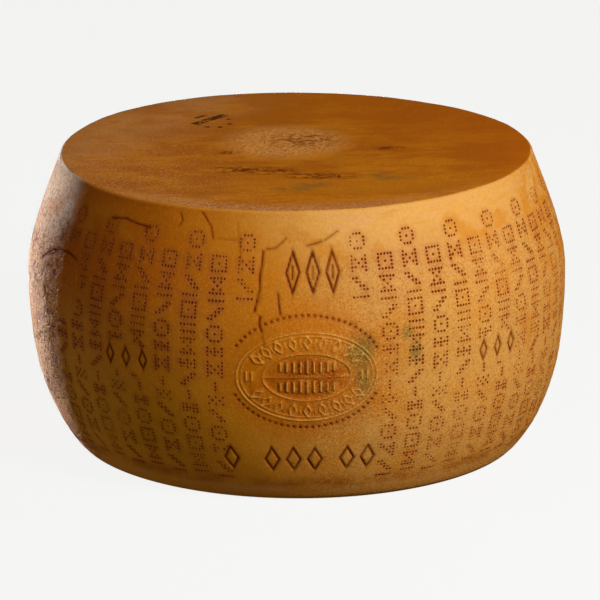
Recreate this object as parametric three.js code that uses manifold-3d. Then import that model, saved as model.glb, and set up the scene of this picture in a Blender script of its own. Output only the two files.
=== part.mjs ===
// A whole wheel of hard, long-aged cheese, standing on one of its flat faces.
// It is one solid: two flat faces, a bellied side, and the marks that mould and branding iron left in the rind.
// Millimetres, +Z up. The origin is on the floor, under the middle of the wheel, and the oval seal faces -Y.

import * as THREE from 'three';
import { mergeVertices } from 'three/addons/utils/BufferGeometryUtils.js';
import Module from 'manifold-3d';

const wasm = await Module();
wasm.setup();

// The wheel as a whole.
const bellyRadius = 228;       // the widest point of the side
const wheelHeight = 246;
const topFaceRadius = 199;
const bottomFaceRadius = 188;
const bellyHeight = 143;       // how far above the floor the side is widest
const topLean = 2.5;           // how much higher the top face stands at its +X edge than in the middle

// How the side curves: its upper part bends softly and then runs straight, its lower part tucks under.
const upperBend = 0.32;
const lowerPower = 2.5;
const lowerCorner = 0.88;

// The top face and its edge.
const topEdgeRound = 5;
const topEdgeTurn = 80;        // degrees of the round edge, which then runs on into the slope of the side
const topDish = 2.2;           // how far the middle of the top face lies below its edge
const labelPatch = { radius: 46, slope: 4, depth: 0.9 };   // the round patch in the middle of the top face

// The side isn't quite round. Each of these is a number of lobes, their size and where they start, in degrees.
const lobes = [
  { count: 2, size: 1.1, start: 35 },
  { count: 3, size: 0.8, start: 110 },
  { count: 5, size: 0.45, start: 20 },
];

// The marks in the rind. Turns are degrees round the wheel from the seal, heights are above the floor,
// across and up are half sizes.
const raisedBy = 0.7;
const sunkBy = 0.5;            // the field of the seal
const cutBy = 1.2;             // the strokes, and the middle of the seal
const strokeWidth = 1.9;
const ridgeWidth = 1.8;
const sealHeight = 116;
const sealBorder = { across: 57, up: 38 };
const sealMiddle = { across: 36, up: 20.5 };
const topMarks = { height: 200, turn: 1.5, across: 6, up: 18, places: [-16, 0, 16] };
const bottomMarks = { height: 42, turn: -3, across: 6.5, up: 12, places: [-50, -17, 0, 17, 43, 60] };
const sideMarks = { height: 120, turns: [-39, 44.5], across: 4.5, up: 10, places: [-17, 0, 17] };
const roundMark = { height: 166, turn: -61, radius: 28, lozenges: 8 };

// Facets.
const roundSteps = 84;
const upperRows = 7;
const lowerRows = 9;
const edgeRows = 3;
const ovalSteps = 40;
const smallestEdge = 0.04;

const degree = Math.PI / 180;

function sideRadius(height) {
  if (height >= bellyHeight) {
    const up = (height - bellyHeight) / (wheelHeight - bellyHeight);
    const bend = (share) => Math.hypot(upperBend, share) - upperBend;
    return bellyRadius - (bellyRadius - topFaceRadius) * bend(up) / bend(1);
  }
  const down = (bellyHeight - height) / bellyHeight;
  const reach = (1 - down ** lowerPower) ** lowerCorner;
  return bottomFaceRadius + (bellyRadius - bottomFaceRadius) * reach;
}

// The wheel's section as rings of radius and height, from the top face over the side to the bottom face.
// The side and the top edge are pushed out by `grown`.
function section(grown) {
  const dish = (radius) => wheelHeight - topDish * (1 - (radius / topFaceRadius) ** 2);
  const face = [labelPatch.radius, 0.5 * topFaceRadius, 0.8 * topFaceRadius];
  const rings = [[labelPatch.radius - labelPatch.slope, dish(labelPatch.radius) - labelPatch.depth]];
  face.forEach((radius) => rings.push([radius, dish(radius)]));
  const edgeHeight = wheelHeight - topEdgeRound;
  const edgeMiddle = sideRadius(edgeHeight) - topEdgeRound + grown;
  for (let i = 0; i <= edgeRows; i++) {
    const turn = (i / edgeRows) * topEdgeTurn * degree;
    rings.push([edgeMiddle + topEdgeRound * Math.sin(turn), edgeHeight + topEdgeRound * Math.cos(turn)]);
  }
  for (let i = 1; i <= upperRows; i++) {
    const height = edgeHeight + (bellyHeight - edgeHeight) * (i / upperRows);
    rings.push([sideRadius(height) + grown, height]);
  }
  for (let i = 1; i < lowerRows; i++) {
    const height = bellyHeight * Math.cos((i / lowerRows) * 90 * degree);
    rings.push([sideRadius(height) + grown, height]);
  }
  rings.push([bottomFaceRadius + grown, 0], [0.5 * bottomFaceRadius, 0]);
  return rings;
}

// A point of the wheel, with its side out of round and its top face leaning.
function settled(radius, around, height) {
  const share = Math.sin(Math.PI * Math.min(1, height / wheelHeight));
  const uneven = lobes.reduce((sum, { count, size, start }) => (
    sum + size * Math.cos(count * around + start * degree)
  ), 0);
  const reach = radius + uneven * share;
  const x = reach * Math.sin(around);
  const lift = topLean * (x / topFaceRadius) * (height / wheelHeight) ** 2;
  return [x, -reach * Math.cos(around), height + lift];
}

function wheelGeometry(grown) {
  const rings = section(grown);
  const positions = [];
  for (const [radius, height] of rings) {
    for (let k = 0; k < roundSteps; k++) {
      positions.push(...settled(radius, (k / roundSteps) * 2 * Math.PI, height));
    }
  }
  const top = rings.length * roundSteps;
  const bottom = top + 1;
  positions.push(0, 0, rings[0][1], 0, 0, 0);
  const corners = [];
  for (let k = 0; k < roundSteps; k++) {
    const next = (k + 1) % roundSteps;
    corners.push(top, k, next);
    for (let i = 0; i + 1 < rings.length; i++) {
      const [a, b] = [i * roundSteps + k, i * roundSteps + next];
      corners.push(a, a + roundSteps, b + roundSteps, a, b + roundSteps, b);
    }
    const last = (rings.length - 1) * roundSteps;
    corners.push(bottom, last + next, last + k);
  }
  const geometry = new THREE.BufferGeometry();
  geometry.setAttribute('position', new THREE.Float32BufferAttribute(positions, 3));
  geometry.setIndex(corners);
  return geometry;
}

function toSolid(geometry) {
  const bare = geometry.clone();
  bare.deleteAttribute('normal');
  bare.deleteAttribute('uv');
  const merged = mergeVertices(bare, 1e-4);
  return new wasm.Manifold(new wasm.Mesh({
    numProp: 3,
    vertProperties: new Float32Array(merged.attributes.position.array),
    triVerts: new Uint32Array(merged.index.array),
  }));
}

// The solid's mesh. Corners that nearly touch are joined, which takes up the slivers that cutting leaves.
function toGeometry(solid) {
  const mesh = solid.getMesh();
  const geometry = new THREE.BufferGeometry();
  geometry.setAttribute('position', new THREE.Float32BufferAttribute(mesh.vertProperties, 3));
  geometry.setIndex(Array.from(mesh.triVerts));
  const merged = mergeVertices(geometry, smallestEdge);
  const corners = Array.from(merged.index.array);
  const kept = [];
  for (let i = 0; i < corners.length; i += 3) {
    const [a, b, c] = corners.slice(i, i + 3);
    if (a !== b && b !== c && c !== a) kept.push(a, b, c);
  }
  merged.setIndex(kept);
  merged.computeVertexNormals();
  return merged;
}

// A flat shape, drawn across and up, stood in front of the side and run straight through the rind, so that
// it can cut or raise what it covers.
function throughRind(shape, turn, height) {
  const reach = 60;
  const options = { depth: reach, bevelEnabled: false, curveSegments: ovalSteps / 4 };
  const geometry = new THREE.ExtrudeGeometry(shape, options);
  geometry.rotateX(90 * degree);
  geometry.translate(0, reach / 2 - bellyRadius, height);
  geometry.rotateZ(turn * degree);
  return toSolid(geometry);
}

// An oval, or with a width only its rim.
function oval(across, up, width = 0) {
  const shape = new THREE.Shape();
  shape.absellipse(0, 0, across, up, 0, 2 * Math.PI, false, 0);
  if (width) {
    const hole = new THREE.Path();
    hole.absellipse(0, 0, across - width, up - width, 0, 2 * Math.PI, false, 0);
    shape.holes.push(hole);
  }
  return shape;
}

// A lozenge with its middle at (x, y), leaning by `lean`, or with a width only its outline.
function lozenge(x, y, across, up, lean = 0, width = 0) {
  const outline = (share) => [[across, 0], [0, up], [-across, 0], [0, -up]].map(([px, py]) => {
    const corner = new THREE.Vector2(px * share, py * share).rotateAround(new THREE.Vector2(), lean);
    return corner.add(new THREE.Vector2(x, y));
  });
  const shape = new THREE.Shape(outline(1));
  if (width) {
    const inside = 1 - (width * Math.hypot(across, up)) / (across * up);
    shape.holes.push(new THREE.Path(outline(inside)));
  }
  return shape;
}

function bar(x, y, across, up) {
  const corners = [[-across, -up], [across, -up], [across, up], [-across, up]];
  return new THREE.Shape(corners.map(([px, py]) => new THREE.Vector2(x + px, y + py)));
}

// The seal: a border, a ring of small lozenges that point outwards, and a barred field in the middle.
function sealRidges() {
  const shapes = [
    oval(sealBorder.across, sealBorder.up, ridgeWidth),
    oval(sealMiddle.across, sealMiddle.up, ridgeWidth),
    bar(0, 0, sealMiddle.across - ridgeWidth / 2, ridgeWidth / 2),
  ];
  const ring = {
    across: (sealBorder.across + sealMiddle.across) / 2,
    up: (sealBorder.up + sealMiddle.up) / 2,
  };
  for (const side of [1, -1]) {
    for (let i = -4; i <= 4; i++) {
      const around = (90 + 15 * i) * degree;
      const x = ring.across * Math.cos(around);
      const y = side * ring.up * Math.sin(around);
      const outwards = Math.atan2(y * ring.across, x * ring.up) - Math.PI / 2;
      shapes.push(lozenge(x, y, 2.8, 5.6, outwards));
    }
    for (const step of [-1, 1]) {
      shapes.push(bar(side * (ring.across + 2.2 * step), 0, 0.8, 4));
    }
    for (let i = -3; i <= 3; i++) {
      shapes.push(bar(i * 6.5, side * 7.6, 0.9, 4.6 - 0.35 * Math.abs(i)));
    }
  }
  return shapes.map((shape) => throughRind(shape, 0, sealHeight));
}

// Lozenge outlines side by side, each stood square to the side where it is. Places are distances along the rind.
function strokes({ height, turn, across, up, places }, barred = false) {
  return places.flatMap((place) => {
    const at = turn + place / sideRadius(height) / degree;
    const shapes = [lozenge(0, 0, across, up, 0, strokeWidth)];
    if (barred) shapes.push(bar(0, 0, 0.4 * strokeWidth, 0.3 * up));
    return shapes.map((shape) => throughRind(shape, at, height));
  });
}

function roundMarkRidges() {
  const { height, turn, radius, lozenges } = roundMark;
  const shapes = [oval(radius, radius, ridgeWidth), lozenge(0, 0, 7, 11, 0, ridgeWidth)];
  for (let i = 0; i < lozenges; i++) {
    const around = (i / lozenges) * 2 * Math.PI;
    const reach = 0.7 * radius;
    shapes.push(lozenge(reach * Math.cos(around), reach * Math.sin(around), 2.4, 4.6, around - Math.PI / 2));
  }
  return shapes.map((shape) => throughRind(shape, turn, height));
}

function markedWheel() {
  const [swollen, field, deep] = [raisedBy, -sunkBy, -cutBy].map((grown) => toSolid(wheelGeometry(grown)));
  const inside = ({ across, up }) => (
    throughRind(oval(across - ridgeWidth / 2, up - ridgeWidth / 2), 0, sealHeight)
  );
  const marks = [
    ...strokes(topMarks, true),
    ...strokes(bottomMarks),
    ...sideMarks.turns.flatMap((turn) => strokes({ ...sideMarks, turn })),
    inside(sealMiddle),
  ];
  const marked = toSolid(wheelGeometry(0))
    .subtract(inside(sealBorder).subtract(field))
    .subtract(wasm.Manifold.union(marks).subtract(deep))
    .add(wasm.Manifold.union([...sealRidges(), ...roundMarkRidges()]).intersect(swollen));
  return marked.decompose().reduce((largest, piece) => (piece.volume() > largest.volume() ? piece : largest));
}

function cheeseWheel() {
  const rind = new THREE.MeshStandardMaterial({ color: 0xc48539, roughness: 0.45, metalness: 0 });
  const mesh = new THREE.Mesh(toGeometry(markedWheel()), rind);
  mesh.name = 'cheese_wheel';
  mesh.geometry.computeBoundingBox();
  const { min, max } = mesh.geometry.boundingBox;
  mesh.geometry.translate(-(min.x + max.x) / 2, -(min.y + max.y) / 2, -min.z);
  return mesh;
}

const wheel = new THREE.Group();
wheel.add(cheeseWheel());
export default wheel;
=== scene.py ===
import math
import random

import bmesh
import bpy
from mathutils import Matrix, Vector, noise


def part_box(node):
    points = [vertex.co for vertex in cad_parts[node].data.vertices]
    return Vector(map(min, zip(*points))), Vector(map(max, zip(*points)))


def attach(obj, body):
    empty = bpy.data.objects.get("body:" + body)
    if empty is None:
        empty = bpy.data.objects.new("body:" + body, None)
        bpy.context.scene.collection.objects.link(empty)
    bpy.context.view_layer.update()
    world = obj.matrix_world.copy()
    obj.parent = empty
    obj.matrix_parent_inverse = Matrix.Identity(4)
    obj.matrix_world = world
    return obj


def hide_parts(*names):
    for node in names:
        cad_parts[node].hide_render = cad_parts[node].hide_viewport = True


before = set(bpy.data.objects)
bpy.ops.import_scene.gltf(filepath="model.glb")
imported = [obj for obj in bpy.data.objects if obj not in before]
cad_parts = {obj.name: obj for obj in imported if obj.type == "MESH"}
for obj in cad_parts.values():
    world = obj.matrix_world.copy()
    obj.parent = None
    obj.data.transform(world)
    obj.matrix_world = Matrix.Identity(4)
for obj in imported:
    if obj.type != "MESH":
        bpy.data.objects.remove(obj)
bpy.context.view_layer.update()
mm = 0.001
print("Frame loaded")

# The wheel is modelled in millimetres and scaled at the end. Turns are degrees round it from the seal,
# which faces -Y, and heights are above the floor.
wheel = {
    "height": 246,
    "bellyRadius": 229.5,
    "bellyHeight": 143,
    "topRadius": 199,
    "footRadius": 188,
    "footEdge": 1.5,            # how wide the outermost ring of the foot is
    "footMargin": 5,            # what lies farther in than this stays round
    "upperBend": 0.5,
    "lowerPower": 2.42,
    "lowerCorner": 0.88,
    "topLean": 2.5,
    "backLean": 1.6,
    "rise": 3.7,                # the top edge stands higher at the back on the left
    "riseTurn": -135,
    "riseWidth": 85,
    "footSpread": 2.4,
    "footShift": 2.1,
    "footReach": 120,           # the spread fades out at this height
    "evenFoot": 8,              # the rind is even below this height, so that the wheel stands
    "topDish": 2.2,
    "edgeRound": 4,
    "edgeTurn": 80,
    "edgeSteps": 6,
    "faceStep": 22,
    "labelRadius": 46,
    "labelSlope": 12,
    "labelDepth": 0.9,
    "lobes": [(2, 1.1, 35), (3, 0.8, 110), (5, 0.45, 20)],     # how many, how high, starting where
    "swells": [(38, 0.45), (13, 0.16)],                        # size and height of the uneven places
    "jitter": 0.2,
}

# Pricked columns run down the side. A column is seven cells wide, and the middle five can hold pricks.
columns = {
    "count": 62,
    "cells": 7,
    "pitch": 3.0,           # from prick to prick, across and down
    "open": 5,              # this many columns are left open round the seal
    "openFrom": -15.6,
    "openTo": 14.5,
    "tops": (213, 229),     # the columns start low and high in turn
    "foot": 20,
    "shortFoot": 174,       # the two columns beside the upper marks end above the seal
    "narrowFrom": 165,      # open columns are evenly divided below this, and like the others above the next
    "narrowTo": 172,
    "inset": 0.55,
    "depth": 0.75,
    "strength": 0.93,       # of a prick, changed by wear and by chance
    "wornBy": 0.35,
    "wornSize": 45,
    "chance": 0.12,
    "strongest": 1.1,
    "smallest": 0.45,
    "blush": 0.35,
    "wornBelow": 0.82,      # a prick weaker than this has colour but no hole
    "seed": 5,
}

# The figures that the columns are made of, one row of pricks after another, downwards.
motifs = {
    "ring": [".###.", "#...#", "#.#.#", "#...#", ".###.", "....."],
    "box": ["#####", "#...#", "#.#.#", "#...#", "#####", "....."],
    "hourglass": ["#####", ".#.#.", "..#..", ".#.#.", "#####", "....."],
    "bow": ["#...#", "##.##", "#.#.#", "##.##", "#...#", "....."],
    "stair": ["##...", ".##..", "..##.", "...##", "....."],
    "climb": ["...##", "..##.", ".##..", "##...", "....."],
    "rails": ["#####", ".....", "#####", "....."],
    "checks": ["#.#.#", ".#.#.", "#.#.#", "....."],
    "bricks": ["##.##", "#####", "##.##", "....."],
    "gate": ["#.#.#", "#####", "#.#.#", "....."],
    "bar": ["#####", "....."],
    "stop": ["..#..", "..#..", "..#..", "....."],
}
longBand = [
    "ring", "bow", "stair", "bar", "box", "rails", "hourglass", "gate", "climb", "stop", "bricks", "ring",
]
shortBand = ["box", "hourglass", "bar", "climb", "ring", "gate", "bow", "stop", "checks", "stair"]


def blend(value, start, end):
    share = min(1, max(0, (value - start) / (end - start)))
    return share * share * (3 - 2 * share)


def sideRadius(height):
    if height >= wheel["bellyHeight"]:
        up = (height - wheel["bellyHeight"]) / (wheel["height"] - wheel["bellyHeight"])
        bend = math.hypot(wheel["upperBend"], up) - wheel["upperBend"]
        whole = math.hypot(wheel["upperBend"], 1) - wheel["upperBend"]
        return wheel["bellyRadius"] - (wheel["bellyRadius"] - wheel["topRadius"]) * bend / whole
    down = min(1, (wheel["bellyHeight"] - height) / wheel["bellyHeight"])
    reach = (1 - down ** wheel["lowerPower"]) ** wheel["lowerCorner"]
    return wheel["footRadius"] + (wheel["bellyRadius"] - wheel["footRadius"]) * reach


def outwards(turn, height, topShare=0):
    # The way the rind faces there, turning to straight up over the top edge.
    lean = sideRadius(max(0, height - 0.5)) - sideRadius(height + 0.5)
    away = Vector((math.sin(turn), -math.cos(turn), lean)).normalized()
    return away.lerp(Vector((0, 0, 1)), topShare).normalized()


def topHeight(radius):
    dish = wheel["topDish"] * (1 - (radius / wheel["topRadius"]) ** 2)
    slope = wheel["labelRadius"] - wheel["labelSlope"]
    return wheel["height"] - dish - wheel["labelDepth"] * (1 - blend(radius, slope, wheel["labelRadius"]))


def profileRings():
    # Radius, height and share of top face, from the middle of the top face to the middle of the foot.
    edgeHeight = wheel["height"] - wheel["edgeRound"]
    edgeRadius = sideRadius(edgeHeight) - wheel["edgeRound"]
    label = wheel["labelRadius"]
    slope = wheel["labelSlope"]
    radii = [label * share for share in (0, 0.15, 0.5)]
    radii += [label - slope, label - slope / 2, label]
    faceRings = round((edgeRadius - label) / wheel["faceStep"])
    radii += [label + (edgeRadius - label) * i / faceRings for i in range(1, faceRings + 1)]
    rings = [(radius, topHeight(radius), 1) for radius in radii]
    for i in range(1, wheel["edgeSteps"] + 1):
        turn = math.radians(wheel["edgeTurn"] * i / wheel["edgeSteps"])
        reach = edgeRadius + wheel["edgeRound"] * math.sin(turn)
        rings.append((reach, edgeHeight + wheel["edgeRound"] * math.cos(turn), 1 - i / wheel["edgeSteps"]))
    height = rings[-1][1]
    while height > 0:
        slopeHere = sideRadius(height + 0.1) - sideRadius(max(0, height - 0.1))
        height -= columns["pitch"] / math.hypot(1, slopeHere / 0.2)
        if height > columns["pitch"] / 3:
            rings.append((sideRadius(height), height, 0))
    foot = wheel["footRadius"]
    rings += [(radius, 0, 0) for radius in (foot, foot - wheel["footEdge"], 0.6 * foot, 0.2 * foot, 0)]
    return rings


def cellTurn(cell, height):
    # The turn, in degrees, of an edge between two cells. Cells count up from the left of the open stretch.
    openCells = columns["open"] * columns["cells"]
    openWidth = columns["openTo"] - columns["openFrom"]
    prick = math.degrees(columns["pitch"] / wheel["bellyRadius"])
    if cell < openCells:
        start = columns["openFrom"]
        width = openWidth / columns["open"]
        narrow = blend(height, columns["narrowFrom"], columns["narrowTo"])
    else:
        cell -= openCells
        start = columns["openTo"]
        width = (360 - openWidth) / (columns["count"] - columns["open"])
        narrow = 1
    column, within = divmod(cell, columns["cells"])
    even = within * width / columns["cells"]
    gap = (width - (columns["cells"] - 2) * prick) / 2
    spread = gap + (within - 1) * prick if within else 0
    return start + column * width + even + (spread - even) * narrow


def bandRows(first, second, rows):
    pattern = []
    while len(pattern) < rows:
        for name in first + second:
            pattern += motifs[name]
    return pattern


relief = {
    "raised": 0.75,
    "sunk": -0.5,
    "cut": -1.2,
    "ridge": 1.8,           # how wide a ridge is, and a stroke
    "stroke": 1.6,
    "soft": 1.0,            # how wide the flank of a mark is
    "near": 1.9,            # faces this close to a flank are divided
    "far": 2.9,             # the gap kept where no mark is near
    "reach": 4,             # a mark is looked for this far from its outline
    "divide": 2,
    "wear": 0.45,
    "wearSize": 11,
}

# The marks pressed and cut into the rind. Each is an oval, a lozenge or a bar, drawn flat, across and up,
# in front of the turn and height where it stands. A width leaves only its outline.
marks = []


def ovalGap(x, y, across, up):
    inner = math.hypot(x / across, y / up)
    slope = math.hypot(x / across ** 2, y / up ** 2)
    return inner * (inner - 1) / slope if slope > 1e-9 else -min(across, up)


def lozengeGap(x, y, across, up):
    return (abs(x) / across + abs(y) / up - 1) * across * up / math.hypot(across, up)


def barGap(x, y, across, up):
    return max(abs(x) - across, abs(y) - up)


shapeGaps = {"oval": ovalGap, "lozenge": lozengeGap, "bar": barGap}


def addMark(turn, height, shape, across, up, rise, burn=0, width=0, x=0, y=0, lean=0):
    reach = math.hypot(x, y) + max(across, up) + relief["reach"]
    marks.append({
        "turn": turn, "height": height, "shape": shape, "across": across, "up": up,
        "rise": rise, "burn": burn, "width": width, "x": x, "y": y, "lean": lean, "reach": reach,
    })


def markGap(mark, turn, height, radius):
    # How far a point of the rind lies outside the mark's outline, or None when it is nowhere near.
    up = height - mark["height"]
    if abs(up) > mark["reach"]:
        return None
    away = turn - math.radians(mark["turn"])
    if math.cos(away) < 0.5:
        return None
    across = radius * math.sin(away)
    if abs(across) > mark["reach"]:
        return None
    x = across - mark["x"]
    y = up - mark["y"]
    cosine = math.cos(mark["lean"])
    sine = math.sin(mark["lean"])
    gap = shapeGaps[mark["shape"]](x * cosine + y * sine, y * cosine - x * sine, mark["across"], mark["up"])
    return abs(gap + mark["width"] / 2) - mark["width"] / 2 if mark["width"] else gap


# Across and up are half sizes. The band between the seal's border and its middle holds lozenges, with a
# thin ray between each two, and a pair of bars at either end. Rows of bars stand in its middle.
seal = {
    "turn": 0.3,
    "height": 116,
    "across": 57,
    "up": 38,
    "secondAcross": 53.8,
    "secondUp": 35,
    "middleAcross": 36,
    "middleUp": 20.5,
    "figures": 4,               # on either side of the middle one
    "figureTurn": 15,
    "lozenge": (3.6, 6.6),
    "lozengeWidth": 1.2,
    "ray": (0.5, 3.4),
    "endBar": (0.8, 4),
    "endApart": 2.2,
    "barAcross": 0.8,
    "barUp": 5.4,
    "barShrink": 0.4,           # each bar is this much shorter than the one nearer the middle
    "barApart": 5.4,
    "barRow": 8.4,
    "ringAcross": 62.5,         # the pricks round it
    "ringUp": 47.5,
    "ringHeight": 119.5,
    "ringPitch": 5,
    "ringOpen": 19,
    "ringPrick": 1.05,
    "ringDepth": 1,
    "ringSteps": 4000,
}
# Half across and half up of the middle line of the band.
sealBand = ((seal["across"] + seal["middleAcross"]) / 2, (seal["up"] + seal["middleUp"]) / 2)


def addFigure(side, step, shape, across, up, rise, width=0):
    # One figure of the seal's band, turned to stand square to it.
    around = math.radians(90 + seal["figureTurn"] * step)
    x = sealBand[0] * math.cos(around)
    y = side * sealBand[1] * math.sin(around)
    lean = math.atan2(y * sealBand[0], x * sealBand[1]) - math.pi / 2
    addMark(seal["turn"], seal["height"], shape, across, up, rise, width=width, x=x, y=y, lean=lean)


def addSeal():
    turn = seal["turn"]
    height = seal["height"]
    middle = (seal["middleAcross"], seal["middleUp"])
    second = (seal["secondAcross"], seal["secondUp"])
    ridge = relief["ridge"]
    raised = relief["raised"]
    figures = seal["figures"]
    addMark(turn, height, "oval", seal["across"] - ridge / 2, seal["up"] - ridge / 2, relief["sunk"])
    addMark(turn, height, "oval", *middle, relief["cut"])
    addMark(turn, height, "oval", seal["across"], seal["up"], raised, width=0.7 * ridge)
    addMark(turn, height, "oval", *second, 0.7 * raised, width=0.55 * ridge)
    addMark(turn, height, "oval", *middle, 0.6 * raised, width=0.6 * ridge)
    addMark(turn, height, "bar", seal["middleAcross"] - 1, ridge / 4, 0.6 * raised)
    for side in (1, -1):
        for step in range(-figures, figures + 1):
            addFigure(side, step, "lozenge", *seal["lozenge"], raised, width=seal["lozengeWidth"])
        for step in (-1, 1):
            place = side * (sealBand[0] + seal["endApart"] * step)
            addMark(turn, height, "bar", *seal["endBar"], raised, x=place)
        for step in range(-figures, figures + 1):
            tall = seal["barUp"] - seal["barShrink"] * abs(step)
            place = step * seal["barApart"]
            addMark(turn, height, "bar", seal["barAcross"], tall, raised, x=place, y=side * seal["barRow"])
        for step in range(1 - figures, figures + 1):
            addFigure(side, step - 0.5, "bar", *seal["ray"], 0.6 * raised)


def addSealPricks():
    # Pricks at even steps round an oval outside the seal, open at its two ends.
    prick = seal["ringPrick"]
    steps = seal["ringSteps"]
    walked = 0
    for i in range(steps):
        around = 2 * math.pi * i / steps
        across = seal["ringAcross"] * math.cos(around)
        up = seal["ringUp"] * math.sin(around)
        slope = math.hypot(seal["ringAcross"] * math.sin(around), seal["ringUp"] * math.cos(around))
        walked += slope * 2 * math.pi / steps
        if walked < seal["ringPitch"]:
            continue
        walked -= seal["ringPitch"]
        if abs(up) > seal["ringOpen"]:
            addMark(0, seal["ringHeight"], "oval", prick, prick, -seal["ringDepth"], burn=1, x=across, y=up)


# Burnt open lozenges in rows. Their places are measured along the rind from the turn.
strokes = [
    {"height": 200, "turn": 1.5, "across": 6, "up": 18, "places": (-16, 0, 16), "barred": True},
    {"height": 42, "turn": -3, "across": 6.5, "up": 12, "places": (-50, -17, 0, 17, 43, 60)},
    {"height": 120, "turn": -39, "across": 4.5, "up": 10, "places": (-17, 0, 17)},
    {"height": 120, "turn": 44.5, "across": 4.5, "up": 10, "places": (-17, 0, 17)},
]


def addStrokes(height, turn, across, up, places, barred=False):
    for place in places:
        at = turn + math.degrees(place / sideRadius(height))
        addMark(at, height, "lozenge", across, up, relief["cut"], burn=1, width=relief["stroke"])
        if barred:
            addMark(at, height, "bar", 0.4 * relief["stroke"], 0.3 * up, relief["cut"], burn=1)


roundMark = {
    "turn": -61, "height": 164, "radius": 27, "groove": 1.5,
    "middle": (7, 11), "lozenges": 8, "lozenge": (2.4, 4.6), "lozengeRing": 0.7,
}


def addRoundMark():
    turn = roundMark["turn"]
    height = roundMark["height"]
    radius = roundMark["radius"]
    groove = radius + roundMark["groove"]
    ridge = relief["ridge"]
    raised = relief["raised"]
    addMark(turn, height, "oval", groove, groove, 0.5 * relief["cut"], width=ridge + 1)
    addMark(turn, height, "oval", radius, radius, 0.3 * raised, width=ridge)
    addMark(turn, height, "lozenge", *roundMark["middle"], 0.5 * raised, width=ridge)
    for i in range(roundMark["lozenges"]):
        around = 2 * math.pi * i / roundMark["lozenges"]
        x = roundMark["lozengeRing"] * radius * math.cos(around)
        y = roundMark["lozengeRing"] * radius * math.sin(around)
        lean = around - math.pi / 2
        addMark(turn, height, "lozenge", *roundMark["lozenge"], 0.4 * raised, x=x, y=y, lean=lean)


# The turn and height of each crack's points, and how wide, how dark and how deep it is.
cracks = [
    ([(-71.8, 174), (-69.5, 181), (-66.5, 186.5), (-62.5, 189.8), (-59, 190), (-56, 187.5)], 1.2, 1, 0.9),
    ([(-24.2, 243), (-22.6, 237), (-21.4, 232), (-20.6, 224)], 1.1, 0.8, 0.6),
    ([(-19.5, 224), (-16, 223.5), (-13.5, 224)], 0.7, 0.25, 0.15),
    ([(-9.1, 216), (-9.3, 205), (-9.6, 196), (-9.5, 188), (-9.9, 180), (-10.4, 170)], 1.5, 1, 0.9),
    ([(-9.2, 166), (-9.4, 160), (-8.9, 154)], 1.4, 1, 0.9),
    ([(-8.9, 154), (-8.6, 147), (-8.2, 138)], 1, 0.5, 0.4),
    ([(-5.7, 184), (-5.5, 176), (-5.2, 168)], 1.3, 0.95, 0.8),
    ([(-8.4, 217.5), (-6.4, 218.5), (-5, 223), (-4.2, 226)], 1.1, 0.8, 0.5),
    ([(0.4, 220), (2.2, 221.5), (3.6, 223)], 1.1, 0.95, 0.6),
    ([(4.2, 223.5), (5.6, 226.5), (7.2, 230)], 1.0, 0.85, 0.6),
    ([(-15.2, 236), (-14.1, 215), (-13.5, 206)], 0.7, 0.3, 0.35),
    ([(-48, 227), (-44, 229), (-40.5, 227), (-36.6, 226)], 1.3, 0.9, 0.6),
    ([(-29.4, 240), (-28.6, 235), (-29.2, 231)], 1.1, 0.7, 0.5),
]


def addCrack(points, width, burn, depth):
    for (turnA, heightA), (turnB, heightB) in zip(points, points[1:]):
        height = (heightA + heightB) / 2
        along = math.radians(turnB - turnA) * sideRadius(height)
        lean = math.atan2(heightB - heightA, along)
        half = math.hypot(along, heightB - heightA) / 2 + width / 3
        middle = (turnA + turnB) / 2
        addMark(middle, height, "bar", half, width / 2, -depth, burn=burn, lean=lean)


addSeal()
addSealPricks()
for strokeRow in strokes:
    addStrokes(**strokeRow)
addRoundMark()
for crack in cracks:
    addCrack(*crack)
print(len(marks), "marks drawn")


def marksAround(degree):
    around = []
    for mark in marks:
        spread = math.degrees(mark["reach"] / wheel["footRadius"]) + 1
        if abs(math.remainder(degree - mark["turn"], 360)) < spread:
            around.append(mark)
    return around


marksByDegree = [marksAround(degree) for degree in range(360)]

# No column is pricked inside these ovals: turn, height, half width and half height of each.
clearings = [
    (0, 118, 66, 54),
    (1.5, 200, 29, 23),
    (-1.6, 42, 70, 15),
    (-39, 120, 26, 14),
    (44.5, 120, 26, 14),
    (-61, 166, 32, 32),
    (-88, 120, 88, 500),
]


def inClearing(turn, height):
    radius = sideRadius(height)
    for middle, level, across, up in clearings:
        away = math.remainder(turn - math.radians(middle), 2 * math.pi) * radius
        if math.hypot(away / across, (height - level) / up) < 1:
            return True
    return False


def steadyOrder(elements):
    # A spin lists its edges and faces in another order each run, and the random draws go by that order.
    ranked = sorted(elements, key=lambda element: sorted(vert.index for vert in element.verts))
    for i, element in enumerate(ranked):
        element.index = i
    elements.sort()


def buildBlank():
    # The profile, spun round in cells.
    bm = bmesh.new()
    topFace = bm.verts.layers.float.new("topFace")
    bm.verts.layers.float.new("burntGap")
    bm.verts.layers.float.new("ridgeGap")
    bm.verts.layers.float.new("pricked")
    row = bm.verts.layers.int.new("row")
    previous = None
    rings = profileRings()
    for i, (radius, height, topShare) in enumerate(rings):
        vert = bm.verts.new((0, -radius, height))
        vert[topFace] = topShare
        vert[row] = i
        if previous:
            bm.edges.new((previous, vert))
        previous = vert
    steps = columns["count"] * columns["cells"]
    bmesh.ops.spin(
        bm, geom=bm.verts[:] + bm.edges[:], cent=(0, 0, 0), axis=(0, 0, 1),
        angle=2 * math.pi, steps=steps, use_merge=True,
    )
    bmesh.ops.remove_doubles(bm, verts=bm.verts[:], dist=0.001)
    bmesh.ops.recalc_face_normals(bm, faces=bm.faces[:])
    bm.verts.index_update()
    steadyOrder(bm.edges)
    steadyOrder(bm.faces)
    return bm, rings


def cellOf(turn):
    return turn % (2 * math.pi) / (2 * math.pi) * columns["count"] * columns["cells"]


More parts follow.
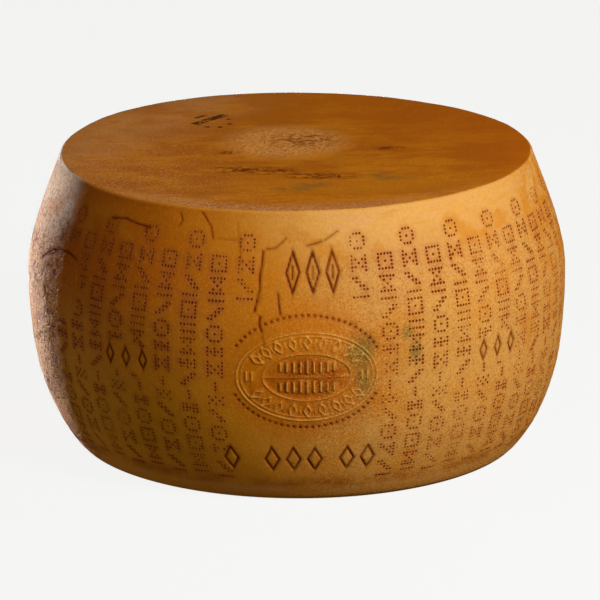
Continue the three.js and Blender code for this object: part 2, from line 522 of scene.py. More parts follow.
def choosePricks(bm, rings):
    # The faces to prick, each with its strength.
    row = bm.verts.layers.int["row"]
    lowRows = bandRows(shortBand, longBand, len(rings))
    highRows = bandRows(longBand, shortBand, len(rings))
    rng = random.Random(columns["seed"])
    chosen = []
    for face in bm.faces:
        middle = face.calc_center_median()
        if not columns["foot"] < middle.z < max(columns["tops"]):
            continue
        if math.hypot(middle.x, middle.y) < wheel["footRadius"]:
            continue
        column, cell = divmod(int(cellOf(math.atan2(middle.x, -middle.y))), columns["cells"])
        if not 1 <= cell <= columns["cells"] - 2:
            continue
        if 1 <= column < columns["open"] - 1:
            continue
        high = (column - columns["open"]) % 2 if column >= columns["open"] else 1
        top = columns["tops"][high]
        foot = columns["foot"] if column >= columns["open"] else columns["shortFoot"]
        if not foot < middle.z < top:
            continue
        first = next(i for i, ring in enumerate(rings) if ring[2] == 0 and ring[1] < top)
        line = min(vert[row] for vert in face.verts) - first
        pattern = highRows if high else lowRows
        if line < 0 or pattern[line][cell - 1] != "#":
            continue
        turn = math.radians(cellTurn(column * columns["cells"] + cell + 0.5, middle.z))
        if inClearing(turn, middle.z):
            continue
        worn = noise.noise(middle / columns["wornSize"]) * columns["wornBy"]
        worn += rng.uniform(-columns["chance"], columns["chance"])
        chosen.append((face, min(columns["strongest"], columns["strength"] + worn)))
    return chosen


def mapPricks(bm, pricks):
    # Each pricked cell gets a map of its own, from corner to corner, which grows as its prick shrinks.
    cellMap = bm.loops.layers.uv.new("prickMap")
    pricked = bm.verts.layers.float["pricked"]
    away = Vector((-1, -1))
    for face in bm.faces:
        for loop in face.loops:
            loop[cellMap].uv = away
    for face, strength in pricks:
        middle = face.calc_center_median()
        side = Vector((-middle.y, middle.x, 0))
        half = 0.5 / max(columns["smallest"], strength)
        for loop in face.loops:
            offset = loop.vert.co - middle
            right = 1 if offset.dot(side) > 0 else -1
            above = 1 if offset.z > 0 else -1
            loop[cellMap].uv = (0.5 + half * right, 0.5 + half * above)
            loop.vert[pricked] = min(1, loop.vert[pricked] + columns["blush"] * strength)


def spreadColumns(bm):
    # Moves each vertex from its even step round the wheel to where its cell's edge belongs.
    for vert in bm.verts:
        radius = math.hypot(vert.co.x, vert.co.y)
        if radius < 1:
            continue
        cell = round(cellOf(math.atan2(vert.co.x, -vert.co.y)))
        turn = math.radians(cellTurn(cell % (columns["count"] * columns["cells"]), vert.co.z))
        vert.co.x = radius * math.sin(turn)
        vert.co.y = -radius * math.cos(turn)


def nearMarks(turn, height, radius):
    found = []
    for mark in marksByDegree[round(math.degrees(turn)) % 360]:
        gap = markGap(mark, turn, height, radius)
        if gap is not None:
            found.append((mark, gap))
    return found


def divideMarks(bm):
    faces = []
    for face in bm.faces:
        middle = face.calc_center_median()
        radius = math.hypot(middle.x, middle.y)
        if radius < wheel["footRadius"] or middle.z > wheel["height"] - wheel["edgeRound"]:
            continue
        turn = math.atan2(middle.x, -middle.y)
        if any(abs(gap) < relief["near"] for mark, gap in nearMarks(turn, middle.z, radius)):
            faces.append(face)
    edges = list(dict.fromkeys(edge for face in faces for edge in face.edges))
    bmesh.ops.subdivide_edges(bm, edges=edges, cuts=relief["divide"], use_grid_fill=True)
    return len(faces)


def pressMarks(bm):
    # Moves the rind, and keeps how far each point lies from a burnt mark and from a ridge, for the shader.
    burntGap = bm.verts.layers.float["burntGap"]
    ridgeGap = bm.verts.layers.float["ridgeGap"]
    for vert in bm.verts:
        vert[burntGap] = relief["far"]
        vert[ridgeGap] = relief["far"]
        radius = math.hypot(vert.co.x, vert.co.y)
        if radius < wheel["footRadius"] or vert.co.z > wheel["height"] - wheel["edgeRound"] / 2:
            continue
        turn = math.atan2(vert.co.x, -vert.co.y)
        rise = 0
        worn = 1 - relief["wear"] * (0.5 + noise.noise(vert.co / relief["wearSize"]))
        for mark, gap in nearMarks(turn, vert.co.z, radius):
            share = min(1, max(0, 0.5 - gap / relief["soft"]))
            rise += (mark["rise"] * worn - rise) * share
            if mark["burn"]:
                vert[burntGap] = min(vert[burntGap], gap + 1 - mark["burn"])
            if mark["rise"] > 0:
                vert[ridgeGap] = min(vert[ridgeGap], gap)
        vert.co += outwards(turn, vert.co.z) * rise


def pushPricks(bm, pricks):
    deep = [face for face, strength in pricks if strength > columns["wornBelow"]]
    bmesh.ops.inset_individual(
        bm, faces=deep, thickness=columns["inset"], use_even_offset=True, use_interpolate=True,
    )
    poked = bmesh.ops.poke(bm, faces=deep, offset=-columns["depth"], center_mode="MEAN")
    return poked["faces"]


def settle(bm):
    # Takes the wheel out of round, and gives its rind the unevenness of a thing pressed by hand in a mould.
    topFace = bm.verts.layers.float["topFace"]
    for vert in bm.verts:
        height = vert.co.z
        radius = math.hypot(vert.co.x, vert.co.y)
        turn = math.atan2(vert.co.x, -vert.co.y)
        away = outwards(turn, height, vert[topFace])
        share = math.sin(math.pi * min(1, height / wheel["height"]))
        reach = sum(
            size * math.cos(count * turn + math.radians(start)) for count, size, start in wheel["lobes"]
        )
        swell = sum(size * noise.noise(vert.co / spacing) for spacing, size in wheel["swells"])
        if radius > wheel["footRadius"] - wheel["footMargin"]:
            vert.co += Vector((math.sin(turn), -math.cos(turn), 0)) * reach * share
        fromRise = math.remainder(turn - math.radians(wheel["riseTurn"]), 2 * math.pi)
        fromRise = min(1, abs(fromRise) / math.radians(wheel["riseWidth"]))
        crest = math.cos(fromRise * math.pi / 2) ** 2 * radius / wheel["topRadius"]
        lift = wheel["topLean"] * vert.co.x / wheel["topRadius"] + wheel["rise"] * crest
        lift += wheel["backLean"] * blend(vert.co.y, -wheel["topRadius"], wheel["topRadius"])
        vert.co.z += lift * (height / wheel["height"]) ** 2
        low = (1 - blend(height, 0, wheel["footReach"])) * radius / wheel["footRadius"]
        vert.co += Vector((math.sin(turn), -math.cos(turn), 0)) * wheel["footSpread"] * low
        vert.co.x += wheel["footShift"] * low
        vert.co += away * swell * blend(height, 0, wheel["evenFoot"])


def fitToFrame(bm):
    low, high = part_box("cheese_wheel")
    lows = [min(vert.co[i] for vert in bm.verts) for i in range(3)]
    highs = [max(vert.co[i] for vert in bm.verts) for i in range(3)]
    shift = Vector([-(lows[0] + highs[0]) / 2, -(lows[1] + highs[1]) / 2, -lows[2]])
    bmesh.ops.translate(bm, vec=shift, verts=bm.verts[:])
    bmesh.ops.scale(bm, vec=(mm, mm, mm), verts=bm.verts[:])
    middle = (low + high) / 2
    bmesh.ops.translate(bm, vec=(middle.x, middle.y, low.z), verts=bm.verts[:])


def buildWheel():
    bm, rings = buildBlank()
    pricks = choosePricks(bm, rings)
    mapPricks(bm, pricks)
    spreadColumns(bm)
    rng = random.Random(columns["seed"] + 1)
    for vert in bm.verts:
        if vert[bm.verts.layers.float["pricked"]] > 0:
            vert.co += Vector([rng.uniform(-1, 1) for i in range(3)]) * wheel["jitter"]
    print("Cells laid out:", len(bm.faces), "faces,", len(pricks), "pricks")
    for face in bm.faces:
        face.smooth = True
    divided = divideMarks(bm)
    pressMarks(bm)
    print("Marks pressed in:", divided, "cells divided")
    for face in pushPricks(bm, pricks):
        face.smooth = False
    settle(bm)
    fitToFrame(bm)
    mesh = bpy.data.meshes.new("cheeseWheel")
    bm.to_mesh(mesh)
    bm.free()
    piece = bpy.data.objects.new("cheeseWheel", mesh)
    bpy.context.scene.collection.objects.link(piece)
    mesh.calc_loop_triangles()
    print("Wheel modelled:", len(mesh.loop_triangles), "triangles")
    return piece


class Wire:
    # A shader socket. Sums written with it add Math nodes.
    def __init__(self, graph, socket):
        self.graph = graph
        self.socket = socket

    def maths(self, operation, *values):
        return self.graph.node("ShaderNodeMath", {"operation": operation}, dict(enumerate(values)))

    def __add__(self, other):
        return self.maths("ADD", self, other)

    def __radd__(self, other):
        return self.maths("ADD", other, self)

    def __sub__(self, other):
        return self.maths("SUBTRACT", self, other)

    def __rsub__(self, other):
        return self.maths("SUBTRACT", other, self)

    def __mul__(self, other):
        return self.maths("MULTIPLY", self, other)

    def __rmul__(self, other):
        return self.maths("MULTIPLY", other, self)

    def __truediv__(self, other):
        return self.maths("DIVIDE", self, other)

    def off(self, value):
        # How far it is from a value.
        return self.maths("ABSOLUTE", self - value)

    def step(self, start, end):
        # 0 before start and 1 after end, with soft shoulders.
        return self.graph.node(
            "ShaderNodeMapRange", {"interpolation_type": "SMOOTHSTEP"},
            {"Value": self, "From Min": start, "From Max": end},
        )


class Graph:
    def __init__(self, name):
        self.material = bpy.data.materials.new(name)
        self.material.use_nodes = True
        self.tree = self.material.node_tree
        self.tree.nodes.clear()

    def node(self, kind, settings=None, values=None, output=0):
        made = self.tree.nodes.new(kind)
        for name, value in (settings or {}).items():
            setattr(made, name, value)
        for name, value in (values or {}).items():
            if isinstance(value, Wire):
                self.tree.links.new(value.socket, made.inputs[name])
            else:
                made.inputs[name].default_value = value
        return Wire(self, made.outputs[output]) if made.outputs else None

    def attribute(self, name):
        return self.node("ShaderNodeAttribute", {"attribute_name": name}, output="Fac")

    def mix(self, share, first, second, way="MIX"):
        settings = {"data_type": "RGBA", "blend_type": way}
        return self.node("ShaderNodeMix", settings, {0: share, 6: first, 7: second}, output=2)

    def grain(self, size, detail=3, roughness=0.55, stretch=(1, 1, 1), shift=0, distortion=0):
        # Noise with features of about that size, in millimetres.
        scale = [1 / (size * each) for each in stretch]
        place = self.node("ShaderNodeMapping", None, {
            "Vector": self.place, "Scale": scale, "Location": (shift, shift / 2, -shift),
        })
        return self.node("ShaderNodeTexNoise", None, {
            "Vector": place, "Scale": 1, "Detail": detail, "Roughness": roughness, "Distortion": distortion,
        })

    def cells(self, feature, scale, more=None):
        place = self.node("ShaderNodeMapping", None, {"Vector": self.place, "Scale": scale})
        values = {"Vector": place, "Scale": 1.0, "Randomness": 1.0, **(more or {})}
        return self.node("ShaderNodeTexVoronoi", {"feature": feature}, values)

    def spot(self, middle, reach, core=0.3, stretch=(1, 1, 1)):
        # 1 at a point, in millimetres, and 0 at its reach.
        scale = [1 / each for each in stretch]
        shift = [-m * s for m, s in zip(middle, scale)]
        place = self.node("ShaderNodeMapping", None, {
            "Vector": self.place, "Scale": scale, "Location": shift,
        })
        away = self.node("ShaderNodeVectorMath", {"operation": "LENGTH"}, {0: place}, output="Value")
        return 1 - away.step(reach * core, reach)

    def topSpot(self, place, core, stretch):
        x, y, reach = place
        return self.spot((x, y, wheel["height"]), reach, core, (*stretch, 3))


def tone(red, green, blue):
    # A colour as a picture program gives it, from 0 to 255, as the shader wants it.
    values = [each / 255 for each in (red, green, blue)]
    return [v / 12.92 if v <= 0.04045 else ((v + 0.055) / 1.055) ** 2.4 for v in values] + [1]


rind = {
    "gold": tone(214, 151, 72),
    "amber": tone(210, 129, 26),
    "pale": tone(228, 166, 80),
    "olive": tone(212, 148, 14),
    "russet": tone(204, 102, 2),
    "footBrown": tone(226, 144, 44),
    "blush": tone(198, 116, 48),
    "sheenHighlight": tone(250, 216, 194),
    "flankSheen": tone(212, 153, 97),
    "glint": tone(250, 196, 96),
    "scorchAndShade": tone(200, 160, 100),        # these four darken what they lie on
    "crease": tone(158, 112, 74),
    "burnt": tone(146, 98, 12),
    "prick": tone(150, 98, 14),
    "topBrown": tone(226, 134, 12),
    "topDark": tone(198, 106, 5),
    "topPale": tone(226, 160, 100),
    "topGold": tone(232, 148, 22),
    "topRed": tone(128, 52, 0),
    "label": tone(240, 162, 80),
    "sealOrange": tone(206, 114, 4),
    "sealDark": tone(160, 74, 0),
    "stain": tone(100, 98, 48),
    "ink": tone(56, 28, 6),
}

# On the side a place is its turn, height and reach, and on the top face its x, y and reach.
rindPlaces = {
    "sideMould": [(9.8, 135, 17), (12.4, 138, 14), (11.8, 112, 18), (22.9, 131, 12), (21, 147, 10)],
    "calm": (32, 128, 80),              # plainer and paler than the rest of the side
    "aroundSeal": 88,
    "aroundSealUp": 6,                  # how far its middle lies above the seal's
    "topGold": (40, -110, 120),
    "label": (-8, 33, 66),
    "labelRust": (8, 40, 44),
    "topRust": [(-50, -55, 30), (-24, -63, 28), (8, -80, 26), (30, -86, 26), (78, 4, 16), (-58, 0, 14)],
    "topMould": [(-7, -125, 20), (8, -110, 20), (72, -88, 26)],
}

# The worn ink stamp on the top face: a long bar, a short one beside it, and spots. Its middle is at x and y,
# and the rest is measured along and across its slant.
stamp = {
    "x": -72.5, "y": 106, "slant": 49, "half": 22, "thick": 5,
    "shortAlong": 1.5, "shortAcross": 12, "shortHalf": 8, "shortThick": 3,
    "spots": [(-20, -14), (-13, -23), (0, -22.5), (11, -12)], "spotHalf": 3, "blur": 1.6,
}


def onSide(turn, height):
    angle = math.radians(turn)
    return (sideRadius(height) * math.sin(angle), -sideRadius(height) * math.cos(angle), height)


def inkMask(x, y):
    slant = math.radians(stamp["slant"])
    blur = stamp["blur"]
    along = (x - stamp["x"]) * math.cos(slant) + (y - stamp["y"]) * math.sin(slant)
    across = (y - stamp["y"]) * math.cos(slant) - (x - stamp["x"]) * math.sin(slant)
    blots = [
        (0, 0, stamp["half"], stamp["thick"]),
        (stamp["shortAlong"], stamp["shortAcross"], stamp["shortHalf"], stamp["shortThick"]),
    ]
    blots += [(place, aside, stamp["spotHalf"], stamp["spotHalf"]) for place, aside in stamp["spots"]]
    mask = 0
    for place, aside, half, thick in blots:
        inside = 1 - along.off(place).step(half - blur, half)
        mask = inside * (1 - across.off(aside).step(thick - blur, thick)) + mask
    return mask


def readRind(g):
    # Where a point of the rind is, in millimetres, and the masks and noises that its colour and relief share.
    coordinates = g.node("ShaderNodeTexCoord", output="Object")
    g.place = g.node("ShaderNodeMapping", None, {"Vector": coordinates, "Scale": (1 / mm, 1 / mm, 1 / mm)})
    split = g.node("ShaderNodeSeparateXYZ", None, {"Vector": g.place})
    g.x, g.y, g.z = [Wire(g, split.socket.node.outputs[i]) for i in range(3)]
    g.radius = g.node("ShaderNodeMath", {"operation": "SQRT"}, {0: g.x * g.x + g.y * g.y})
    g.facing = g.x / g.radius           # -1 at the far left, 1 at the far right
    g.topFace = g.attribute("topFace")
    g.pricked = g.attribute("pricked")
    g.mottle = g.grain(17, 4, shift=3)
    g.patch = g.grain(34, 3, shift=14)
    g.fine = g.grain(2.6, 3, shift=9)
    g.streak = g.grain(9, 4, 0.65, (3, 1, 1), shift=31)
    g.board = g.grain(34, 5, 0.62, (1.8, 1, 1), shift=20)
    g.dust = g.grain(2.2, 4, 0.7, (1, 1.6, 1), shift=37)
    # The right of the side, facing the key lamp: the gold painted there is painted light.
    g.sunny = (g.x + g.grain(80, 2) * 160).step(20, 150)
    # The left of the side, away from the key lamp, where tones are painted as shade.
    g.shaded = 1 - g.x.step(-150, 10)
    g.rim = (g.z + g.patch * 40).step(222, 256)
    g.fore = 1 - (g.y + g.mottle * 60).step(40, 120)
    g.dryLeft = (1 - g.facing.step(-0.95, -0.82)) * g.fore * (1 - g.topFace)
    g.creased = g.dryLeft + g.facing.step(0.7, 0.98) * 0.5 * (1 - g.topFace)


def sideGround(g):
    # Golden on the right, which is painted key light; redder above and more olive below on the left, which is
    # painted shade; pale at the far left, which is painted sheen of the rim lamp.
    side = g.mix(g.sunny, rind["amber"], rind["gold"])
    side = g.mix(g.patch.step(0.48, 0.68) * 0.6, side, rind["amber"])
    # Painted shade on the left: redder above, darker above at the far left, and more olive below.
    side = g.mix(g.shaded * g.z.step(140, 190) * 0.72, side, rind["russet"])
    side = g.mix((1 - g.x.step(-190, -120)) * g.z.step(130, 165) * 0.3, side, rind["scorchAndShade"], "MULTIPLY")
    side = g.mix(g.shaded * (1 - g.z.step(50, 150)) * 0.8, side, rind["olive"])
    # A pale band under the top edge: partly the rind's own tone, partly painted sheen of the key lamp.
    band = g.mix(g.x.step(-90, 30), rind["amber"], rind["pale"])
    side = g.mix(g.rim * (0.3 + 0.7 * g.x.step(-120, 10)) * (1 - g.x.step(50, 170) * 0.4), side, band)
    # Painted sheen of the rim lamp: the far left is painted pale, and whitest above, where it is a painted
    # highlight.
    side = g.mix((1 - g.facing.step(-0.98, -0.9)) * g.fore * 0.85, side, rind["flankSheen"])
    pale = (1 - (g.facing + g.mottle * 0.05).step(-0.89, -0.85)) * g.fore
    side = g.mix(pale * (g.z + g.mottle * 40).step(195, 245) * 0.85, side, rind["sheenHighlight"])
    tan = g.patch.step(0.5, 0.62) * g.z.step(196, 214) * (1 - g.z.step(228, 240))
    side = g.mix(tan * 0.6, side, rind["amber"])
    side = g.mix((1 - g.z.step(4, 60)) * 0.6, side, rind["footBrown"])
    farRight = g.facing.step(0.84, 0.96) * g.z.step(120, 185) * g.mottle.step(0.36, 0.6)
    return g.mix(farRight, side, rind["amber"])


def sideWear(g, side):
    # The blush round the pricks, with painted shade round them on the left, hoops under the top edge, and
    # scuffs and dirt above the foot.
    turn, height, reach = rindPlaces["calm"]
    calm = g.spot(onSide(turn, height), reach, 0.3)
    side = g.mix(calm * 0.3, side, rind["pale"])
    spared = g.shaded * (1 - g.z.step(60, 140))
    blushed = g.pricked * g.mottle.step(0.3, 0.55) * (1 - spared * 0.8) * (1 - calm * 0.6)
    side = g.mix(blushed * 0.9, side, rind["blush"])
    # Painted shade: pricks on the shaded left are darkened round about.
    side = g.mix(g.pricked * g.shaded * 0.55, side, rind["scorchAndShade"], "MULTIPLY")
    hoops = g.grain(5, 4, 0.6, (5, 5, 1), shift=81)
    hooped = g.rim * g.x.step(-60, 60)
    side = g.mix(hooped * hoops.step(0.52, 0.64) * 0.3, side, rind["amber"])
    side = g.mix(hooped * (1 - hoops.step(0.36, 0.48)) * 0.5, side, rind["topPale"])
    scuffed = g.z.step(3, 8) * (1 - g.z.step(12, 18)) * g.streak.step(0.45, 0.6)
    side = g.mix(scuffed * 0.5, side, rind["topPale"])
    dirt = g.z.step(10, 17) * (1 - g.z.step(18, 28)) * g.patch.step(0.35, 0.6)
    return g.mix(dirt * 0.7, side, rind["scorchAndShade"], "MULTIPLY")


def sealTones(g, side):
    # The orange round the seal, darker below and in the seal's middle, and the mould beside it.
    middle = (0, -wheel["bellyRadius"], seal["height"] + rindPlaces["aroundSealUp"])
    around = g.spot(middle, rindPlaces["aroundSeal"], 0.5, (1, 1, 0.8)) * (0.5 + g.mottle * 0.7)
    side = g.mix(around * 0.85, side, rind["sealOrange"])
    side = g.mix(around * (1 - g.z.step(80, 130)) * 0.5, side, rind["sealDark"])
    lens = g.spot(onSide(0, seal["height"]), 1, 0.5, (seal["middleAcross"] + 6, 60, seal["middleUp"] + 3))
    side = g.mix(lens * (0.25 + g.mottle.step(0.25, 0.6) * 0.7), side, rind["sealDark"])
    for turn, height, reach in rindPlaces["sideMould"]:
        mould = g.spot(onSide(turn, height), reach, 0.1, (0.8, 0.8, 1.4)) * g.mottle.step(0.3, 0.54)
        side = g.mix(mould * (0.3 + g.fine * 0.6), side, rind["stain"])
    return side


def topGround(g):
    # Brown in broad bands, dusty on the left and at the front edge, paler at the back left, partly faded and
    # partly painted sheen, and with painted light in gold at the back.
    top = g.mix(g.board.step(0.36, 0.62), rind["topBrown"], rind["topDark"])
    top = g.mix(g.streak.step(0.48, 0.66) * 0.7, top, rind["topDark"])
    golden = g.topSpot(rindPlaces["topGold"], 0.2, (1.3, 0.5)) * g.board.step(0.4, 0.6)
    top = g.mix(golden * 0.5, top, rind["topGold"])
    left = 1 - g.x.step(-170, 0)
    dusty = left * (0.1 + g.mottle * 0.9) * (0.5 + 0.7 * (1 - g.y.step(-80, 60)))
    top = g.mix(g.dust.step(0.46, 0.62) * (0.05 + dusty), top, rind["topPale"])
    top = g.mix((1 - g.dust.step(0.34, 0.48)) * 0.6, top, rind["topDark"])
    # Partly fading, partly painted sheen: the back left of the top is painted pale in place of light grazing
    # it from behind.
    fadeAndSheen = (g.y * 0.7 - g.x).step(90, 200) * (0.4 + g.patch.step(0.35, 0.6) * 0.6)
    top = g.mix(fadeAndSheen * 0.42, top, rind["topPale"])
    # Painted light: gold at the back of the top.
    top = g.mix(g.y.step(60, 180) * g.x.step(-100, 60) * 0.15, top, rind["topGold"])
    top = g.mix((g.x + g.y * 0.6).step(40, 200) * 0.65, top, rind["russet"])
    top = g.mix(g.y.step(60, 190) * g.x.step(-120, 60) * 0.25, top, rind["topDark"])
    front = 1 - g.y.step(-170, -90)
    flecks = g.dust.step(0.36, 0.6) * (0.35 + g.mottle) * (1 - g.x.step(10, 130) * 0.8)
    return g.mix(g.radius.step(166, 190) * front * flecks, top, rind["topPale"])


def topStains(g, top):
    # The pale lumpy patch in the middle, rusty veins, mould and the worn stamp.
    curls = g.grain(9, 3, 0.6, (1.4, 1, 1), shift=61, distortion=0.6)
    vein = 1 - curls.off(0.5).step(0.02, 0.08)
    lumps = g.grain(4, 3, 0.65, (1, 1.3, 1), shift=73)
    label = g.topSpot(rindPlaces["label"], 0.5, (1, 1)) * (0.2 + g.board * 0.6)
    g.labelLumps = label * g.topFace * lumps
    top = g.mix(label + label * lumps.step(0.4, 0.62), top, rind["label"])
    top = g.mix(label * (1 - lumps.step(0.36, 0.46)), top, rind["topBrown"])
    rust = g.topSpot(rindPlaces["labelRust"], 0.3, (1, 0.7)) * (vein + g.streak.step(0.5, 0.62) * 0.5)
    top = g.mix(rust * 0.6, top, rind["topRed"])
    for place in rindPlaces["topRust"]:
        rust = g.topSpot(place, 0.2, (1.2, 0.6)) * (vein + g.streak.step(0.5, 0.6) * 0.5)
        top = g.mix(rust * 0.75, top, rind["topRed"])
    for place in rindPlaces["topMould"]:
        mould = g.topSpot(place, 0.1, (1.3, 0.7)) * g.mottle.step(0.38, 0.56)
        top = g.mix(mould * 0.5, top, rind["stain"])
    return g.mix(inkMask(g.x, g.y) * g.dust.step(0.36, 0.5) * 0.9, top, rind["ink"])


def edgeTones(g, colour):
    # A painted highlight along the rounded top edge, brightest at the far left, where it is the rim lamp's
    # painted sheen.
    edge = g.topFace.step(0.3, 0.5) * (1 - g.topFace.step(0.6, 0.8))
    corner = (1 - g.facing.step(-0.94, -0.86)) * g.fore
    colour = g.mix(edge * (0.3 + 0.7 * corner), colour, g.mix(corner, rind["pale"], rind["sheenHighlight"]))
    return g.mix(g.fine.step(0.55, 0.75) * 0.12 * (1 - g.topFace), colour, rind["pale"])


def grainTones(g, colour):
    # The creases of the far left flank, darkened with painted shade, and light and dark grit on the rest of
    # the side, most where the key light is painted.
    broken = g.grain(5, 2, 0.5, shift=52).step(0.42, 0.56)
    g.crease = (1 - g.cells("DISTANCE_TO_EDGE", (0.1, 0.1, 0.2)).step(0.03, 0.16)) * broken * g.dryLeft
    # Painted shade in the creases.
    colour = g.mix(g.crease * (1 - g.z.step(190, 235) * 0.7), colour, rind["crease"], "MULTIPLY")
    grit = g.grain(1.6, 2, shift=90)
    colour = g.mix((1 - grit.step(0.4, 0.56)) * g.dryLeft * 0.6, colour, rind["scorchAndShade"], "MULTIPLY")
    coarse = (1 - g.z.step(190, 225)) * (0.3 + g.sunny * 0.7)
    colour = g.mix(grit.step(0.54, 0.66) * coarse * 0.6, colour, rind["pale"])
    colour = g.mix((1 - grit.step(0.34, 0.5)) * coarse * 0.5, colour, rind["scorchAndShade"], "MULTIPLY")
    return g.node("ShaderNodeHueSaturation", None, {"Value": 0.84 + g.fine * 0.32, "Color": colour})


def markTones(g, colour):
    # The seal's ridges carry a painted highlight, and burnt strokes, cracks and pricks are dark, the pricks
    # less so on the left, which is painted shade.
    cellMap = g.node("ShaderNodeUVMap", {"uv_map": "prickMap"})
    values = {0: cellMap, 1: (0.5, 0.5, 0)}
    away = g.node("ShaderNodeVectorMath", {"operation": "DISTANCE"}, values, output="Value")
    burntGap = g.attribute("burntGap")
    # Painted shade: pricks on the shaded left are painted paler.
    g.prick = (1 - away.step(0.22, 0.46)) * (1 - g.shaded * 0.3)
    g.ridge = 1 - g.attribute("ridgeGap").step(-0.8, 0.2)
    g.burnt = 1 - burntGap.step(-0.5, 0.45)
    scorch = 1 - burntGap.step(-0.5, 2.4)
    # Painted highlight: a glint on the seal's ridges.
    colour = g.mix(g.ridge * g.facing.step(-0.6, -0.3) * (0.4 + g.mottle * 0.8), colour, rind["glint"])
    colour = g.mix(scorch * 0.6, colour, rind["scorchAndShade"], "MULTIPLY")
    colour = g.mix(g.burnt * (0.5 + g.mottle.step(0.3, 0.6) * 0.5), colour, rind["burnt"], "MULTIPLY")
    return g.mix(g.prick * (0.7 + g.mottle * 0.5), colour, rind["prick"], "MULTIPLY")


def rindBump(g):
    # Leathery and wrinkled on the far left flank, with fine pores all over, and lumpy on the middle patch.
    leather = g.cells("SMOOTH_F1", (0.14, 0.14, 0.5), {"Smoothness": 0.3})
    pores = g.grain(1.1, 2, shift=70)
    wrinkles = 1 - g.grain(5, 3, 0.6, (3, 3, 1), shift=44, distortion=0.5).off(0.5).step(0, 0.05)
    scratches = g.grain(2.4, 2, 0.5, (1, 1, 4), shift=66).step(0.5, 0.62)
    depth = leather * (0.04 + g.creased * 0.6) + pores * (0.25 + g.creased * 0.9)
    depth = depth + g.fine * 0.16 + g.mottle * 0.3
    depth = depth - scratches * g.facing.step(0.5, 0.9) * (1 - g.topFace) * 0.25
    depth = depth - wrinkles * g.creased * 0.3 - g.crease * 0.9
    depth = depth + g.ridge * 0.25 - g.burnt * 0.15 + g.labelLumps * 2.5
    return g.node("ShaderNodeBump", None, {"Height": depth, "Strength": 1.0, "Distance": mm})


def rindMaterial():
    g = Graph("rind")
    readRind(g)
    side = sealTones(g, sideWear(g, sideGround(g)))
    top = topStains(g, topGround(g))
    colour = g.mix(g.topFace.step(0.6, 0.85), side, top)
    colour = markTones(g, grainTones(g, edgeTones(g, colour)))
    roughness = 0.44 + g.mottle * 0.12 + g.creased * 0.4 + (g.burnt + g.prick) * 0.3
    surface = g.node("ShaderNodeBsdfPrincipled", None, {
        "Base Color": colour, "Roughness": roughness, "Normal": rindBump(g), "Specular IOR Level": 0.09,
    })
    g.node("ShaderNodeOutputMaterial", None, {"Surface": surface})
    return g.material


floorLook = {"colour": tone(245, 245, 244), "reach": 9, "below": 0.3 * mm, "glow": 0.965, "share": 0.07}


def buildFloor():
    bm = bmesh.new()
    bmesh.ops.create_grid(bm, x_segments=1, y_segments=1, size=floorLook["reach"])
    bmesh.ops.translate(bm, vec=(0, 0, -floorLook["below"]), verts=bm.verts[:])
    mesh = bpy.data.meshes.new("floor")
    bm.to_mesh(mesh)
    bm.free()
    floor = bpy.data.objects.new("floor", mesh)
    bpy.context.scene.collection.objects.link(floor)
    g = Graph("floor")
    surface = g.node("ShaderNodeBsdfPrincipled", None, {
        "Base Color": [each * floorLook["share"] for each in floorLook["colour"][:3]] + [1],
        "Roughness": 0.9, "Specular IOR Level": 0.0,
        "Emission Color": floorLook["colour"], "Emission Strength": floorLook["glow"],
    })
    g.node("ShaderNodeOutputMaterial", None, {"Surface": surface})
    mesh.materials.append(g.material)
    floor.visible_diffuse = False
    floor.visible_glossy = False


def towards(azimuth, elevation):
    a = math.radians(azimuth)
    e = math.radians(elevation)
    return Vector((math.sin(a) * math.cos(e), -math.cos(a) * math.cos(e), math.sin(e)))


view = {
    "azimuth": -2, "elevation": 16.3, "distance": 3.42, "lens": 239.8,
    "aimRight": 0.0026, "aimDown": 0.0101,
}


def placeCamera(middle):
    back = towards(view["azimuth"], view["elevation"])
    turn = (-back).to_track_quat("-Z", "Y")
    data = bpy.data.cameras.new("camera")
    data.lens = view["lens"]
    data.clip_end = 50
    camera = bpy.data.objects.new("camera", data)
    aim = turn @ Vector((view["aimRight"], -view["aimDown"], 0))
    camera.location = middle + aim + back * view["distance"]
    camera.rotation_mode = "QUATERNION"
    camera.rotation_quaternion = turn
    bpy.context.scene.collection.objects.link(camera)
    bpy.context.scene.camera = camera


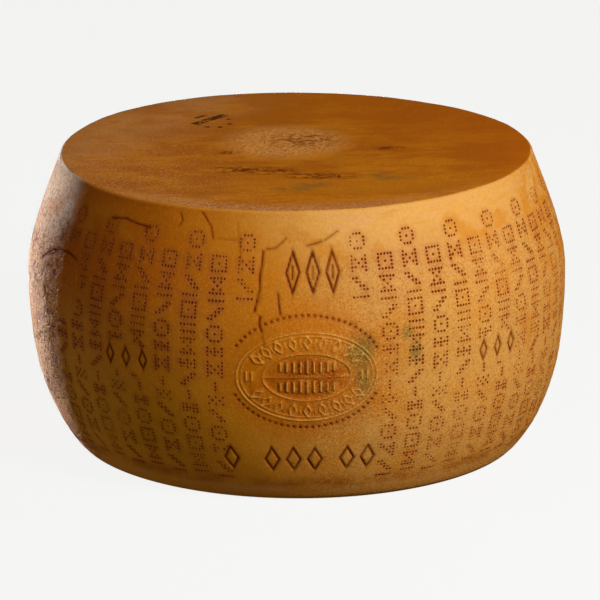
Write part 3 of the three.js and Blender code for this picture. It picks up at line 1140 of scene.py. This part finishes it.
lamps = {
    "key": {"azimuth": 45, "elevation": 30, "distance": 2.1, "size": 0.8, "power": 39.5, "colour": (1, 1, 1)},
    "rim": {                    # a narrow strip that grazes the left flank, and stays below the top face
        "azimuth": -157.5, "elevation": -5, "distance": 0.7, "aside": (-0.25, -0.103, 0.024),
        "size": 0.12, "tall": 0.3, "spread": 20, "power": 0.68, "colour": (1, 0.97, 0.92),
    },
    "back": {                   # stays below the top face
        "azimuth": 178, "elevation": -3, "distance": 2.2,
        "size": 0.5, "tall": 0.2, "power": 30, "colour": (1, 0.97, 0.9),
    },
    "low": {
        "azimuth": -100, "elevation": -22, "distance": 2,
        "size": 1, "power": 2.2, "colour": (1, 0.88, 0.5),
    },
    "fill": {
        "azimuth": -35, "elevation": 12, "distance": 2.2,
        "size": 1.5, "power": 4, "colour": (1, 0.8, 0.3),
    },
    "edge": {
        "azimuth": 105, "elevation": 0, "distance": 2,
        "size": 0.8, "power": 4.6, "colour": (1, 0.85, 0.5),
    },
}
sky = {"colour": (1, 0.9, 0.6, 1), "strength": 0.07}


def lightUp(middle, piece):
    onlyWheel = bpy.data.collections.new("onlyWheel")
    onlyWheel.objects.link(piece)
    for name, settings in lamps.items():
        data = bpy.data.lights.new(name, "AREA")
        data.shape = "RECTANGLE"
        data.size = settings["size"]
        data.size_y = settings.get("tall", settings["size"])
        data.spread = math.radians(settings.get("spread", 180))
        data.energy = settings["power"]
        data.color = settings["colour"]
        light = bpy.data.objects.new(name, data)
        back = towards(settings["azimuth"], settings["elevation"])
        light.location = middle + Vector(settings.get("aside", (0, 0, 0))) + back * settings["distance"]
        light.visible_camera = False
        light.rotation_mode = "QUATERNION"
        light.rotation_quaternion = (-back).to_track_quat("-Z", "Y")
        bpy.context.scene.collection.objects.link(light)
        if name != "key":
            light.light_linking.receiver_collection = onlyWheel
            light.light_linking.blocker_collection = onlyWheel
    world = bpy.data.worlds.new("studio")
    world.use_nodes = True
    background = world.node_tree.nodes["Background"]
    background.inputs["Color"].default_value = sky["colour"]
    background.inputs["Strength"].default_value = sky["strength"]
    bpy.context.scene.world = world
    bpy.context.scene.view_settings.view_transform = "Standard"


low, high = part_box("cheese_wheel")
middle = (low + high) / 2
placeCamera(middle)
piece = buildWheel()
piece.data.materials.append(rindMaterial())
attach(piece, "root")
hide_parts("cheese_wheel")
buildFloor()
lightUp(middle, piece)
print("Studio lit")
